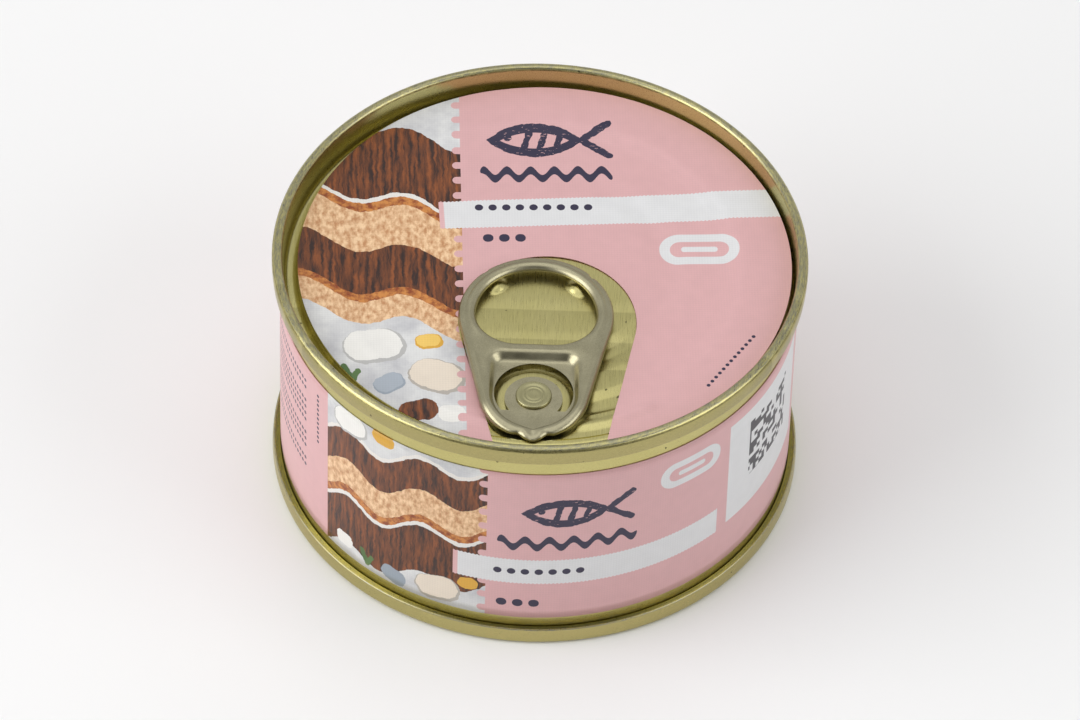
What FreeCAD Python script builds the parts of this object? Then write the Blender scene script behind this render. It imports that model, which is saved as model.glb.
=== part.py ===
import FreeCAD, Part
import math
import os

# A round seamed food can, shut and full, with an easy-open end, a pull tab and two paper labels.
# Millimetres, +Z up. The origin is on the can's axis, in the plane that the bottom seam stands on.
# The front is -Y: the pull tab's nose points that way.
#
# Both ends are pressed from sheet. Their lines are drawn as (radius, depth) points, where depth is
# measured into the can from the outer face of that end's seam.

# Overall sizes
CAN_HEIGHT = 41.0
SEAM_RADIUS = 38.0

# Double seams, alike at both ends
SEAM_HEIGHT = 3.0
SEAM_WIDTH = 1.5
SEAM_OVERHANG = 1.25
SEAM_OUTER_ROUND = 0.6
SEAM_INNER_ROUND = 0.45
SEAM_FOOT_ROUND = 0.4

# Pressed end sheet
END_SHEET = 0.25
CHUCK_WALL_LEAN = 0.3
GROOVE_DEPTH = 4.8
GROOVE_WIDTH = 1.6
GROOVE_ROUND = 0.65
PANEL_WALL_LEAN = 0.4
PANEL_EDGE_ROUND = 0.5
BEAD_ROUND = 1.6

# Panel of the easy-open end, from its edge inwards: (width of the ring, depth at its inner side)
LID_PANEL_DEPTH = 3.1
LID_PANEL_RINGS = (
    (5.1, 3.1),
    (1.5, 3.85),
    (1.4, 3.85),
    (1.6, 3.6),
    (3.2, 3.6),
    (2.0, 3.95),
    (1.6, 3.95),
    (1.8, 3.65),
)

# Panel of the bottom end, the same way
BASE_PANEL_DEPTH = 3.4
BASE_PANEL_RINGS = (
    (6.0, 3.4),
    (1.2, 2.9),
    (3.2, 2.9),
    (1.2, 3.4),
)

# Rivet formed from the lid, and the two domes that hold the ring up
TAB_SEAT_DEPTH = 2.95
RIVET_PAD_RADIUS = 3.6
RIVET_STEM_RADIUS = 1.7
RIVET_HEAD_RADIUS = 2.55
RIVET_HEAD_THICKNESS = 0.4
DOME_RADIUS = 1.3
DOME_CLEARANCE = 0.1
DOME_ANGLE = 41.0
DOME_INSET = 0.25

# Pull tab
TAB_OFFSET_X = -0.3
TAB_HEIGHT = 1.6
TAB_SHEET = 0.35
TAB_EDGE_ROUND = 0.6
TAB_RECESS_ROUND = 0.35
RING_RADIUS = 10.95
RING_WIDTH = 2.4
RING_TO_RIVET = 15.15
RING_HOLE_AHEAD = 5.95
NOSE_REACH = 8.4
NOSE_ROUND = 0.8
NOSE_RAMP_RUN = 5.4
NOSE_RAMP_DROP = 0.9
NOSE_EDGE_GAP = 0.5
FRONT_RADIUS = 7.75
RECESS_BACK = 7.55
RECESS_BACK_HALF_WIDTH = 6.45
RECESS_BACK_ROUND = 2.1
RECESS_FRONT = 6.2
TONGUE_RADIUS = 4.0
SLIT_RADIUS = 5.6
SLIT_BEHIND = 0.55
SLIT_AHEAD = 2.7
STEM_CLEARANCE = 0.05

# Paper labels
PAPER = 0.1
GLUE = 0.02
LID_LABEL_SHIFT_X = 0.7
LID_LABEL_SHIFT_Y = 0.5
LID_LABEL_OVERHANG = 0.85
KEYHOLE_MARGIN = 1.65
KEYHOLE_SHIFT_X = 1.6
KEYHOLE_MOUTH_LEFT = -4.7
KEYHOLE_MOUTH_RIGHT = 9.2
KEYHOLE_MOUTH_ROUND = 0.5
SIDE_LABEL_TOP_GAP = 3.25
SIDE_LABEL_FOOT_GAP = 1.5

# Sizes that follow
BODY_RADIUS = SEAM_RADIUS - SEAM_OVERHANG
SEAM_INNER_RADIUS = SEAM_RADIUS - SEAM_WIDTH
CHUCK_WALL_FOOT = SEAM_INNER_RADIUS - CHUCK_WALL_LEAN
PANEL_WALL_FOOT = CHUCK_WALL_FOOT - GROOVE_WIDTH
PANEL_RADIUS = PANEL_WALL_FOOT - PANEL_WALL_LEAN
LID_LABEL_RADIUS = PANEL_RADIUS + LID_LABEL_OVERHANG
RIVET_Y = NOSE_REACH + NOSE_EDGE_GAP - PANEL_RADIUS
RING_Y = RIVET_Y + RING_TO_RIVET
TAB_UNDERSIDE = CAN_HEIGHT - TAB_SEAT_DEPTH
TAB_TOP = TAB_UNDERSIDE + TAB_HEIGHT
TAB_FLOOR = TAB_UNDERSIDE + TAB_SHEET
AXIS = FreeCAD.Vector(0, 0, 1)
CENTRE = FreeCAD.Vector(0, 0, 0)


def lid_place(radius, depth):
    """A point of the top end's section."""
    return FreeCAD.Vector(radius, 0, CAN_HEIGHT - depth)


def base_place(radius, depth):
    """A point of the bottom end's section."""
    return FreeCAD.Vector(radius, 0, depth)


def smooth_line(points, place):
    """Edges along (radius, depth, corner round) points, each round corner a tangent arc."""
    edges = []
    start = place(*points[0][:2])
    for before, here, after in zip(points, points[1:], points[2:]):
        corner = place(*here[:2])
        back = (place(*before[:2]) - corner).normalize()
        ahead = (place(*after[:2]) - corner).normalize()
        half_turn = back.getAngle(ahead) / 2
        rounding = here[2]
        reach = rounding / math.tan(half_turn)
        edges.append(Part.makeLine(start, corner + back * reach))
        if rounding > 0:
            bisector = (back + ahead).normalize()
            middle = corner + bisector * (rounding / math.sin(half_turn) - rounding)
            arc = Part.Arc(corner + back * reach, middle, corner + ahead * reach)
            edges.append(arc.toShape())
        start = corner + ahead * reach
    edges.append(Part.makeLine(start, place(*points[-1][:2])))
    return edges


def offset_line(points, thickness):
    """The same line, moved by a thickness to its deeper side."""
    moved = [(points[0][0], points[0][1] + thickness, 0)]
    for before, here, after in zip(points, points[1:], points[2:]):
        first = FreeCAD.Vector(here[0] - before[0], here[1] - before[1], 0).normalize()
        second = FreeCAD.Vector(after[0] - here[0], after[1] - here[1], 0).normalize()
        miter = thickness / (1 + first.dot(second))
        radius = here[0] - (first.y + second.y) * miter
        depth = here[1] + (first.x + second.x) * miter
        bend = math.copysign(thickness, first.y - second.y)
        rounding = max(here[2] + bend, 0) if here[2] > 0 else 0
        moved.append((radius, depth, rounding))
    return moved


def panel_line(panel_depth, rings):
    """Panel points from the axis out to the panel's edge."""
    points = [(PANEL_RADIUS, panel_depth, PANEL_EDGE_ROUND)]
    radius = PANEL_RADIUS
    for width, depth in rings:
        radius -= width
        points.append((radius, depth, BEAD_ROUND))
    points.append((0, rings[-1][1], 0))
    return points[::-1]


def outer_line(panel):
    """The end's outer face: panel, groove, chuck wall, and over the seam to the body wall."""
    return panel + [
        (PANEL_WALL_FOOT, GROOVE_DEPTH, GROOVE_ROUND),
        (CHUCK_WALL_FOOT, GROOVE_DEPTH, GROOVE_ROUND),
        (SEAM_INNER_RADIUS, 0, SEAM_INNER_ROUND),
        (SEAM_RADIUS, 0, SEAM_OUTER_ROUND),
        (SEAM_RADIUS, SEAM_HEIGHT, SEAM_FOOT_ROUND),
        (BODY_RADIUS, SEAM_HEIGHT, 0),
    ]


def inner_line(panel):
    """The end's inner face, up to the level where the seam grips the body wall."""
    sheet_line = outer_line(panel)[: len(panel) + 3]
    points = offset_line(sheet_line, END_SHEET)
    slope = CHUCK_WALL_LEAN / GROOVE_DEPTH
    wall_radius = CHUCK_WALL_FOOT + slope * (GROOVE_DEPTH - SEAM_HEIGHT)
    points.append((wall_radius + END_SHEET * math.hypot(1, slope), SEAM_HEIGHT, 0))
    return points


def revolved(edges):
    """A solid turned about the can's axis from a closed chain of edges."""
    return Part.Face(Part.Wire(edges)).revolve(CENTRE, AXIS, 360)


def seamed_end(panel, place):
    """One pressed end with its double seam."""
    outside = outer_line(panel)
    inside = inner_line(panel)
    edges = smooth_line(outside, place)
    edges.append(Part.makeLine(place(*outside[-1][:2]), place(*inside[-1][:2])))
    edges += smooth_line(inside[::-1], place)
    edges.append(Part.makeLine(place(*inside[0][:2]), place(*outside[0][:2])))
    return revolved(edges)


def can_body(top_panel, foot_panel):
    """The can's wall with all that it holds, filled up to both ends."""
    top = inner_line(top_panel)
    foot = inner_line(foot_panel)
    wall_top = lid_place(BODY_RADIUS, SEAM_HEIGHT)
    wall_foot = base_place(BODY_RADIUS, SEAM_HEIGHT)
    edges = smooth_line(top, lid_place)
    edges.append(Part.makeLine(lid_place(*top[-1][:2]), wall_top))
    edges.append(Part.makeLine(wall_top, wall_foot))
    edges.append(Part.makeLine(wall_foot, base_place(*foot[-1][:2])))
    edges += smooth_line(foot[::-1], base_place)
    edges.append(Part.makeLine(base_place(*foot[0][:2]), lid_place(*top[0][:2])))
    return revolved(edges)


def belt(circles, low, high):
    """A prism whose outline runs like a belt round (x, y, radius) circles, given anticlockwise."""
    normals = []
    for here, after in zip(circles, circles[1:] + circles[:1]):
        heading = math.atan2(after[1] - here[1], after[0] - here[0])
        distance = math.hypot(after[0] - here[0], after[1] - here[1])
        normals.append(heading - math.acos((here[2] - after[2]) / distance))

    def rim(circle, angle):
        return FreeCAD.Vector(
            circle[0] + circle[2] * math.cos(angle),
            circle[1] + circle[2] * math.sin(angle),
            low,
        )

    edges = []
    for index, circle in enumerate(circles):
        arrive = normals[index - 1]
        leave = arrive + (normals[index] - arrive) % (2 * math.pi)
        middle = (arrive + leave) / 2
        edges.append(Part.Arc(rim(circle, arrive), rim(circle, middle), rim(circle, leave)).toShape())
        following = circles[(index + 1) % len(circles)]
        edges.append(Part.makeLine(rim(circle, leave), rim(following, leave)))
    return Part.Face(Part.Wire(edges)).extrude(FreeCAD.Vector(0, 0, high - low))


def cylinder(x, y, radius, low, high):
    """An upright cylinder between two heights."""
    return Part.makeCylinder(radius, high - low, FreeCAD.Vector(x, y, low), AXIS)


def dome(side):
    """A ball whose top stands out of the lid as one of the two domes beside the finger hole."""
    angle = math.radians(90 - side * DOME_ANGLE)
    reach = RING_RADIUS - RING_WIDTH + DOME_INSET
    x = TAB_OFFSET_X + reach * math.cos(angle)
    y = RING_Y + reach * math.sin(angle)
    top = TAB_UNDERSIDE - DOME_CLEARANCE
    height = top - (CAN_HEIGHT - LID_PANEL_RINGS[-1][1])
    ball = (DOME_RADIUS ** 2 + height ** 2) / (2 * height)
    return Part.makeSphere(ball, FreeCAD.Vector(x, y, top - ball))


def easy_open_end(panel, contents):
    """The top end with its rivet and domes, which are one piece with its sheet."""
    end = seamed_end(panel, lid_place)
    head_top = TAB_FLOOR + RIVET_HEAD_THICKNESS
    pad_foot = CAN_HEIGHT - GROOVE_DEPTH
    pressed = [
        cylinder(TAB_OFFSET_X, RIVET_Y, RIVET_PAD_RADIUS, pad_foot, TAB_UNDERSIDE),
        dome(-1),
        dome(1),
    ]
    pressed = [shape.cut([contents, end]) for shape in pressed]
    stem = cylinder(TAB_OFFSET_X, RIVET_Y, RIVET_STEM_RADIUS, TAB_UNDERSIDE, TAB_FLOOR)
    head = cylinder(TAB_OFFSET_X, RIVET_Y, RIVET_HEAD_RADIUS, TAB_FLOOR, head_top)
    return end.fuse(pressed + [stem, head]).removeSplitter()


def level_edges(solid, height):
    """The solid's edges that lie all at one height."""
    tolerance = 1e-6
    chosen = []
    for edge in solid.Edges:
        box = edge.BoundBox
        if abs(box.ZMin - height) < tolerance and abs(box.ZMax - height) < tolerance:
            chosen.append(edge)
    return chosen


def finger_hole():
    """The ring's hole: round towards the back, flat between round corners towards the front."""
    side = RING_RADIUS - RING_WIDTH
    span = side - RING_HOLE_AHEAD
    back = cylinder(TAB_OFFSET_X, RING_Y, side, TAB_UNDERSIDE, TAB_TOP)
    behind = FreeCAD.Vector(TAB_OFFSET_X - side, RING_Y, TAB_UNDERSIDE)
    back = back.common(Part.makeBox(2 * side, side, TAB_HEIGHT, behind))
    front = [
        (TAB_OFFSET_X - span, RING_Y, RING_HOLE_AHEAD),
        (TAB_OFFSET_X + span, RING_Y, RING_HOLE_AHEAD),
    ]
    return back.fuse(belt(front, TAB_UNDERSIDE, TAB_TOP)).removeSplitter()


def tab_blank():
    """The tab's outline at full height, edges rounded, its nose ramped down to the panel."""
    nose_y = RIVET_Y - NOSE_REACH
    front = (TAB_OFFSET_X, RIVET_Y, FRONT_RADIUS)
    outline = [
        (TAB_OFFSET_X, RING_Y, RING_RADIUS),
        front,
        (TAB_OFFSET_X, nose_y + NOSE_ROUND, NOSE_ROUND),
        front,
    ]
    blank = belt(outline, TAB_UNDERSIDE, TAB_TOP).cut(finger_hole())
    blank = blank.makeFillet(TAB_EDGE_ROUND, level_edges(blank, TAB_TOP))
    ramp_start = nose_y + NOSE_RAMP_RUN
    ramp = Part.makePolygon([
        FreeCAD.Vector(TAB_OFFSET_X - RING_RADIUS, ramp_start, TAB_TOP),
        FreeCAD.Vector(TAB_OFFSET_X - RING_RADIUS, nose_y, TAB_TOP - NOSE_RAMP_DROP),
        FreeCAD.Vector(TAB_OFFSET_X - RING_RADIUS, nose_y, TAB_TOP),
        FreeCAD.Vector(TAB_OFFSET_X - RING_RADIUS, ramp_start, TAB_TOP),
    ])
    return blank.cut(Part.Face(ramp).extrude(FreeCAD.Vector(2 * RING_RADIUS, 0, 0)))


def tab_recess():
    """The pressed recess round the rivet, above the tab's floor."""
    back_y = RIVET_Y + RECESS_BACK - RECESS_BACK_ROUND
    back_x = RECESS_BACK_HALF_WIDTH - RECESS_BACK_ROUND
    outline = [
        (TAB_OFFSET_X + back_x, back_y, RECESS_BACK_ROUND),
        (TAB_OFFSET_X - back_x, back_y, RECESS_BACK_ROUND),
        (TAB_OFFSET_X, RIVET_Y, RECESS_FRONT),
    ]
    pocket = belt(outline, TAB_FLOOR, TAB_TOP)
    return pocket.makeFillet(TAB_RECESS_ROUND, level_edges(pocket, TAB_FLOOR))


def pull_tab():
    """The tab: finger ring, recess, and the tongue that the rivet holds."""
    slit = cylinder(TAB_OFFSET_X, RIVET_Y + SLIT_BEHIND, SLIT_RADIUS, TAB_UNDERSIDE, TAB_FLOOR)
    tongue = cylinder(TAB_OFFSET_X, RIVET_Y, TONGUE_RADIUS, TAB_UNDERSIDE, TAB_FLOOR)
    root = Part.makeBox(
        2 * SLIT_RADIUS,
        SLIT_RADIUS,
        TAB_SHEET,
        FreeCAD.Vector(TAB_OFFSET_X - SLIT_RADIUS, RIVET_Y - SLIT_AHEAD - SLIT_RADIUS, TAB_UNDERSIDE),
    )
    slit = slit.cut([tongue, root])
    stem_hole = RIVET_STEM_RADIUS + STEM_CLEARANCE
    hole = cylinder(TAB_OFFSET_X, RIVET_Y, stem_hole, TAB_UNDERSIDE, TAB_FLOOR)
    return tab_blank().cut([tab_recess(), slit, hole])


def lid_label(panel):
    """The round paper label on the easy-open end, with a keyhole cut-out for the tab."""
    faced = panel[:-1] + [(PANEL_RADIUS, panel[-1][1], 0), (SEAM_INNER_RADIUS, panel[-1][1], 0)]
    last = faced[-1]
    under = offset_line(faced, -GLUE) + [(last[0], last[1] - GLUE, 0)]
    over = offset_line(faced, -GLUE - PAPER) + [(last[0], last[1] - GLUE - PAPER, 0)]
    edges = smooth_line(under, lid_place)
    edges.append(Part.makeLine(lid_place(*under[-1][:2]), lid_place(*over[-1][:2])))
    edges += smooth_line(over[::-1], lid_place)
    edges.append(Part.makeLine(lid_place(*over[0][:2]), lid_place(*under[0][:2])))
    sheet = revolved(edges)
    low = CAN_HEIGHT - GROOVE_DEPTH
    disc = cylinder(LID_LABEL_SHIFT_X, LID_LABEL_SHIFT_Y, LID_LABEL_RADIUS, low, CAN_HEIGHT)
    keyhole = belt(
        [
            (TAB_OFFSET_X + KEYHOLE_SHIFT_X, RING_Y, RING_RADIUS + KEYHOLE_MARGIN),
            (KEYHOLE_MOUTH_LEFT + KEYHOLE_MOUTH_ROUND, -SEAM_RADIUS, KEYHOLE_MOUTH_ROUND),
            (KEYHOLE_MOUTH_RIGHT - KEYHOLE_MOUTH_ROUND, -SEAM_RADIUS, KEYHOLE_MOUTH_ROUND),
        ],
        low,
        CAN_HEIGHT,
    )
    return sheet.common(disc).cut(keyhole)


def side_label():
    """The paper label wrapped round the can's wall."""
    low = SEAM_HEIGHT + SIDE_LABEL_FOOT_GAP
    high = CAN_HEIGHT - SEAM_HEIGHT - SIDE_LABEL_TOP_GAP
    inner = BODY_RADIUS + GLUE
    return cylinder(0, 0, inner + PAPER, low, high).cut(cylinder(0, 0, inner, low, high))


lid_panel = panel_line(LID_PANEL_DEPTH, LID_PANEL_RINGS)
base_panel = panel_line(BASE_PANEL_DEPTH, BASE_PANEL_RINGS)
body = can_body(lid_panel, base_panel)
pieces = {
    "body": body,
    "bottom_end": seamed_end(base_panel, base_place),
    "lid": easy_open_end(lid_panel, body),
    "pull_tab": pull_tab(),
    "lid_label": lid_label(lid_panel),
    "side_label": side_label(),
}
os.makedirs("parts", exist_ok=True)
for name, solid in pieces.items():
    solid.exportStep(f"parts/{name}.step")
    print(name, solid.isValid(), len(solid.Solids), round(solid.Volume, 3))
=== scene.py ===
import bmesh
import bpy
import math
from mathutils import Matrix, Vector, noise


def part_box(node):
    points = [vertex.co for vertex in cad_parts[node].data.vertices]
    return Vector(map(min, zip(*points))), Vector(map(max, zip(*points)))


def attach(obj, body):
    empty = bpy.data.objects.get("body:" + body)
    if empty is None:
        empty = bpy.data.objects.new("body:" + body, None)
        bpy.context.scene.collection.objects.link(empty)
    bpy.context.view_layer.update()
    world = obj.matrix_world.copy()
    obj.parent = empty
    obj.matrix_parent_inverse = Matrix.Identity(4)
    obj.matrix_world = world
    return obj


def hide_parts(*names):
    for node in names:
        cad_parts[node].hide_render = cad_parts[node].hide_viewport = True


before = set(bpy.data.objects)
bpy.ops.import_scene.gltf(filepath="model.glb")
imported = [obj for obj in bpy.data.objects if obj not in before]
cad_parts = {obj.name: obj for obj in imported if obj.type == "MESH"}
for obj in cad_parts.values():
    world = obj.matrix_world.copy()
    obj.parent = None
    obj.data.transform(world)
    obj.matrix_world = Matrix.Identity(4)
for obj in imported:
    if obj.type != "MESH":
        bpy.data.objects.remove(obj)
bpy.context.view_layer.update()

# ------------------------------------------------------------------------------------------------
# Can wall: a drawn tinplate tube under a clear gold lacquer, full of spread. It shows only as a
# gold band above the side label and a narrower one below it. The double seams grip both its ends.
# ------------------------------------------------------------------------------------------------
MM = 0.001  # every size is a number of millimetres; +Z is up the can's axis, -Y is the front
CAN_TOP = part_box("lid")[1].z
CAN_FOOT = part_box("bottom_end")[0].z
SEAM_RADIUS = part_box("lid")[1].x
WALL_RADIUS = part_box("body")[1].x
NECK = 0.15 * MM  # how far the wall draws in where a seam grips it
GRIP = 1.2 * MM  # how far from the can's ends the neck begins
FILL = 5.2 * MM  # how far from the can's ends the filling is drawn shut
BEND_STEP = 0.22  # radians that each facet of a rounded corner turns by


def section(points, longest):
    """A wire line through (radius, height, corner round) points, its corners rounded off."""
    line = bmesh.new()
    verts = [line.verts.new((r, 0, z)) for r, z, _ in points]
    for first, second in zip(verts, verts[1:]):
        line.edges.new((first, second))
    for index in range(1, len(points) - 1):
        rounding = points[index][2]
        if rounding > 0:
            here = Vector((points[index][0], points[index][1]))
            back = Vector((points[index - 1][0], points[index - 1][1])) - here
            ahead = Vector((points[index + 1][0], points[index + 1][1])) - here
            turn = math.pi - back.angle(ahead)
            reach = rounding * math.tan(turn / 2)
            bmesh.ops.bevel(
                line, geom=[verts[index]], offset=reach, segments=max(3, round(turn / BEND_STEP)),
                profile=0.5, affect="VERTICES", material=-1,
            )
    line.edges.ensure_lookup_table()
    for edge in list(line.edges):
        cuts = int(edge.calc_length() / longest)
        if cuts > 0:
            bmesh.ops.subdivide_edges(line, edges=[edge], cuts=cuts)
    return line


def spun(line, steps):
    """The section turned once round the can's axis and closed at its poles."""
    bmesh.ops.spin(
        line, geom=line.verts[:] + line.edges[:], cent=(0, 0, 0), axis=(0, 0, 1),
        angle=2 * math.pi, steps=steps, use_merge=True,
    )
    bmesh.ops.remove_doubles(line, verts=line.verts, dist=0.001 * MM)
    bmesh.ops.recalc_face_normals(line, faces=line.faces)
    return line


wall = spun(section([
    (0, CAN_FOOT + FILL, 0),
    (WALL_RADIUS - NECK, CAN_FOOT + FILL, 0),
    (WALL_RADIUS - NECK, CAN_FOOT + GRIP, 0),
    (WALL_RADIUS, CAN_FOOT + GRIP, 0),
    (WALL_RADIUS, CAN_TOP - GRIP, 0),
    (WALL_RADIUS - NECK, CAN_TOP - GRIP, 0),
    (WALL_RADIUS - NECK, CAN_TOP - FILL, 0),
    (0, CAN_TOP - FILL, 0),
], CAN_TOP), 384)


def linear(code):
    """An sRGB hex colour as linear RGBA."""
    channels = [int(code[start:start + 2], 16) / 255 for start in (0, 2, 4)]
    return [c / 12.92 if c <= 0.04045 else ((c + 0.055) / 1.055) ** 2.4 for c in channels] + [1]


def node(tree, kind, inputs=None, **settings):
    """Adds a node with its settings; each input is a value or another node's output."""
    made = tree.nodes.new("ShaderNode" + kind)
    for name, value in settings.items():
        setattr(made, name, value)
    for name, value in (inputs or {}).items():
        if isinstance(value, bpy.types.NodeSocket):
            tree.links.new(value, made.inputs[name])
        else:
            made.inputs[name].default_value = value
    return made.outputs


def finish(name, **shader):
    """A material with one Principled shader, whose inputs the caller links its patterns to."""
    material = bpy.data.materials.new(name)
    material.use_nodes = True
    tree = material.node_tree
    inputs = tree.nodes["Principled BSDF"].inputs
    for socket, value in shader.items():
        inputs[socket.replace("_", " ")].default_value = value
    return material, tree, inputs


SCUFFED = 0.22 * MM  # half the height of the rubbed strip along a seam's edge


def tinplate(name, low, high, streaks):
    """Tinplate under clear gold lacquer: rolled grain, soft clouds, specks, rubbed seams, and
    painted shade on the seams' outer faces and just under the top seam's edge.
    """
    material, tree, shader = finish(name, Metallic=1.0)
    place = node(tree, "TexCoord")["Object"]

    # Rolled grain 0.14 mm wide and 2.6 mm long, over clouds 4 mm across and specks of 1 mm.
    drawn = node(tree, "Mapping", {"Vector": place, "Scale": (7000, 380, 7000)})[0]
    grain = node(tree, "TexNoise", {
        "Vector": drawn, "Scale": 1.0, "Detail": 4, "Roughness": 0.6,
    })[0]
    streak = node(tree, "MapRange", {
        "Value": grain, "From Min": 0.3, "From Max": 0.7,
        "To Min": 1 - streaks, "To Max": 1 + 0.7 * streaks,
    })[0]
    cloud = node(tree, "TexNoise", {"Vector": place, "Scale": 260, "Detail": 3})[0]
    fleck = node(tree, "TexNoise", {"Vector": place, "Scale": 900, "Detail": 1})[0]
    speck = node(tree, "MapRange", {
        "Value": fleck, "From Min": 0.2, "From Max": 0.22, "To Min": 0.3, "To Max": 1.0,
    })[0]
    tone = node(tree, "Math", {0: streak, 1: speck}, operation="MULTIPLY")[0]
    lacquer = node(tree, "Mix", {
        "Factor": cloud, 6: linear(low), 7: linear(high),
    }, data_type="RGBA")[2]

    # A seam's outer face is painted a duller, darker gold than the wall: painted shade, for the
    # darker surroundings that the face reflects.
    flat = node(tree, "VectorMath", {0: place, 1: (1, 1, 0)}, operation="MULTIPLY")[0]
    reach = node(tree, "VectorMath", {0: flat}, operation="LENGTH")["Value"]
    face = node(tree, "Math", {0: reach, 1: SEAM_RADIUS, 2: 0.2 * MM}, operation="COMPARE")[0]
    lacquer = node(tree, "Mix", {
        "Factor": face, 6: lacquer, 7: linear("BAAF76"),
    }, data_type="RGBA")[2]

    # Handling rubs the seams' edges, in streaks 0.9 mm long and 0.22 mm wide that run round them.
    # The narrow dark olive line 0.4 mm under the top edge is not wear but painted shade, where the
    # seam's top turns outwards.
    level = node(tree, "SeparateXYZ", {0: place})["Z"]
    turn = node(tree, "TexGradient", {"Vector": place}, gradient_type="RADIAL")["Fac"]
    around = node(tree, "CombineXYZ", {"X": turn, "Y": reach, "Z": level})[0]
    around = node(tree, "Mapping", {"Vector": around, "Scale": (260, 4500, 4500)})[0]
    scuff = node(tree, "TexNoise", {
        "Vector": around, "Scale": 1.0, "Detail": 3, "Roughness": 0.6,
    })[0]
    scuff = node(tree, "MapRange", {"Value": scuff, "From Min": 0.3, "From Max": 0.66})[0]
    for edge, spread, wear_and_shade in (
        (CAN_TOP, SCUFFED, "A09D88"),
        # painted shade: a dark line just under the top seam's edge, in the same streaks
        (CAN_TOP - 0.4 * MM, 0.13 * MM, "8A8258"),
        (CAN_FOOT + 2.95 * MM, SCUFFED, "A09D88"),
    ):
        near = node(tree, "Math", {0: level, 1: edge, 2: spread}, operation="COMPARE")[0]
        rubbed_and_shaded = node(tree, "Math", {0: near, 1: scuff}, operation="MULTIPLY")[0]
        lacquer = node(tree, "Mix", {
            "Factor": rubbed_and_shaded, 6: lacquer, 7: linear(wear_and_shade),
        }, data_type="RGBA")[2]

    colour = node(tree, "VectorMath", {0: lacquer, "Scale": tone}, operation="SCALE")[0]
    tree.links.new(colour, shader["Base Color"])
    gloss = node(tree, "MapRange", {
        "Value": grain, "From Min": 0.3, "From Max": 0.7, "To Min": 0.25, "To Max": 0.36,
    })[0]
    tree.links.new(gloss, shader["Roughness"])
    relief = node(tree, "Bump", {
        "Height": grain, "Strength": 0.25 * streaks, "Distance": 0.02 * MM,
    })[0]
    tree.links.new(relief, shader["Normal"])
    return material, tree, colour


def piece(name, mesh, material, slot, *stands_for, crease=40):
    """Turns a finished bmesh into a piece of the tin that rides with it."""
    data = bpy.data.meshes.new(name)
    mesh.to_mesh(data)
    mesh.free()
    data.materials.append(material)
    data.shade_smooth()
    data.set_sharp_from_angle(angle=math.radians(crease))
    made = bpy.data.objects.new(name, data)
    bpy.context.scene.collection.objects.link(made)
    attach(made, "root")
    if stands_for:
        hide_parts(*stands_for)
    return made


# The lacquer gives the steel its green-gold colour and a satin gloss. The rolled grain is drawn
# about four times as coarse as the real 0.03 mm, so that it shows.
gold_plate = tinplate("lacquered tinplate", "C2B977", "CBC284", 0.06)[0]
piece("can_wall", wall, gold_plate, "can_wall", "body")

# ------------------------------------------------------------------------------------------------
# Bottom end: a pressed tinplate end, its edge folded round the wall's flange into the double seam
# that the can stands on. Its panel has one ring-shaped bead.
# ------------------------------------------------------------------------------------------------
SHEET = 0.25 * MM
SEAM_INNER = SEAM_RADIUS - 1.5 * MM
PANEL_RADIUS = 34.2 * MM
GROOVE = 4.8  # millimetres from the seam's edge to the groove round the panel


def end_line(panel, level, up):
    """An end's outer face: panel, groove, chuck wall, seam and the seam's foot on the wall.

    Its points are (radius, millimetres in from the can's edge, millimetres of corner round).
    """
    rim = [
        (PANEL_RADIUS + 0.4 * MM, GROOVE, 0.65),
        (SEAM_INNER - 0.3 * MM, GROOVE, 0.65),
        (SEAM_INNER - 0.02 * MM, 0.95, 0.6),
        (SEAM_INNER + 0.05 * MM, 0, 0.55),
        (SEAM_RADIUS, 0, 0.85),
        (SEAM_RADIUS, 1.5, 2.0),
        (SEAM_RADIUS - 0.06 * MM, 2.35, 0.9),
        (SEAM_RADIUS - 0.12 * MM, 3.0, 0.2),
        (WALL_RADIUS + 0.12 * MM, 2.62, 0.12),
        (WALL_RADIUS + 0.05 * MM, 1.6, 0),
    ]
    return [(r, level - up * depth * MM, c * MM) for r, depth, c in panel + rim]


def outwards(end):
    """Turns an end's faces over where its seam's outer face looks at the can's axis."""
    if max(end.faces, key=lambda face: face.calc_center_median().x).normal.x < 0:
        bmesh.ops.reverse_faces(end, faces=end.faces)
    return end


def thicken(made):
    """Gives a pressed end the thickness of its sheet, inwards from its outer face."""
    sheet = made.modifiers.new("sheet", "SOLIDIFY")
    sheet.thickness = SHEET
    sheet.offset = -1
    sheet.use_even_offset = True


foot = outwards(spun(section(end_line([
    (0, 3.4, 0),
    (22.6 * MM, 3.4, 1.6),
    (23.8 * MM, 2.9, 1.6),
    (27.0 * MM, 2.9, 1.6),
    (28.2 * MM, 3.4, 1.6),
    (PANEL_RADIUS, 3.4, 0.5),
], CAN_FOOT, -1), 1.2 * MM), 320))
thicken(piece("seamed_foot", foot, gold_plate, "gold_lacquer", "bottom_end"))

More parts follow.
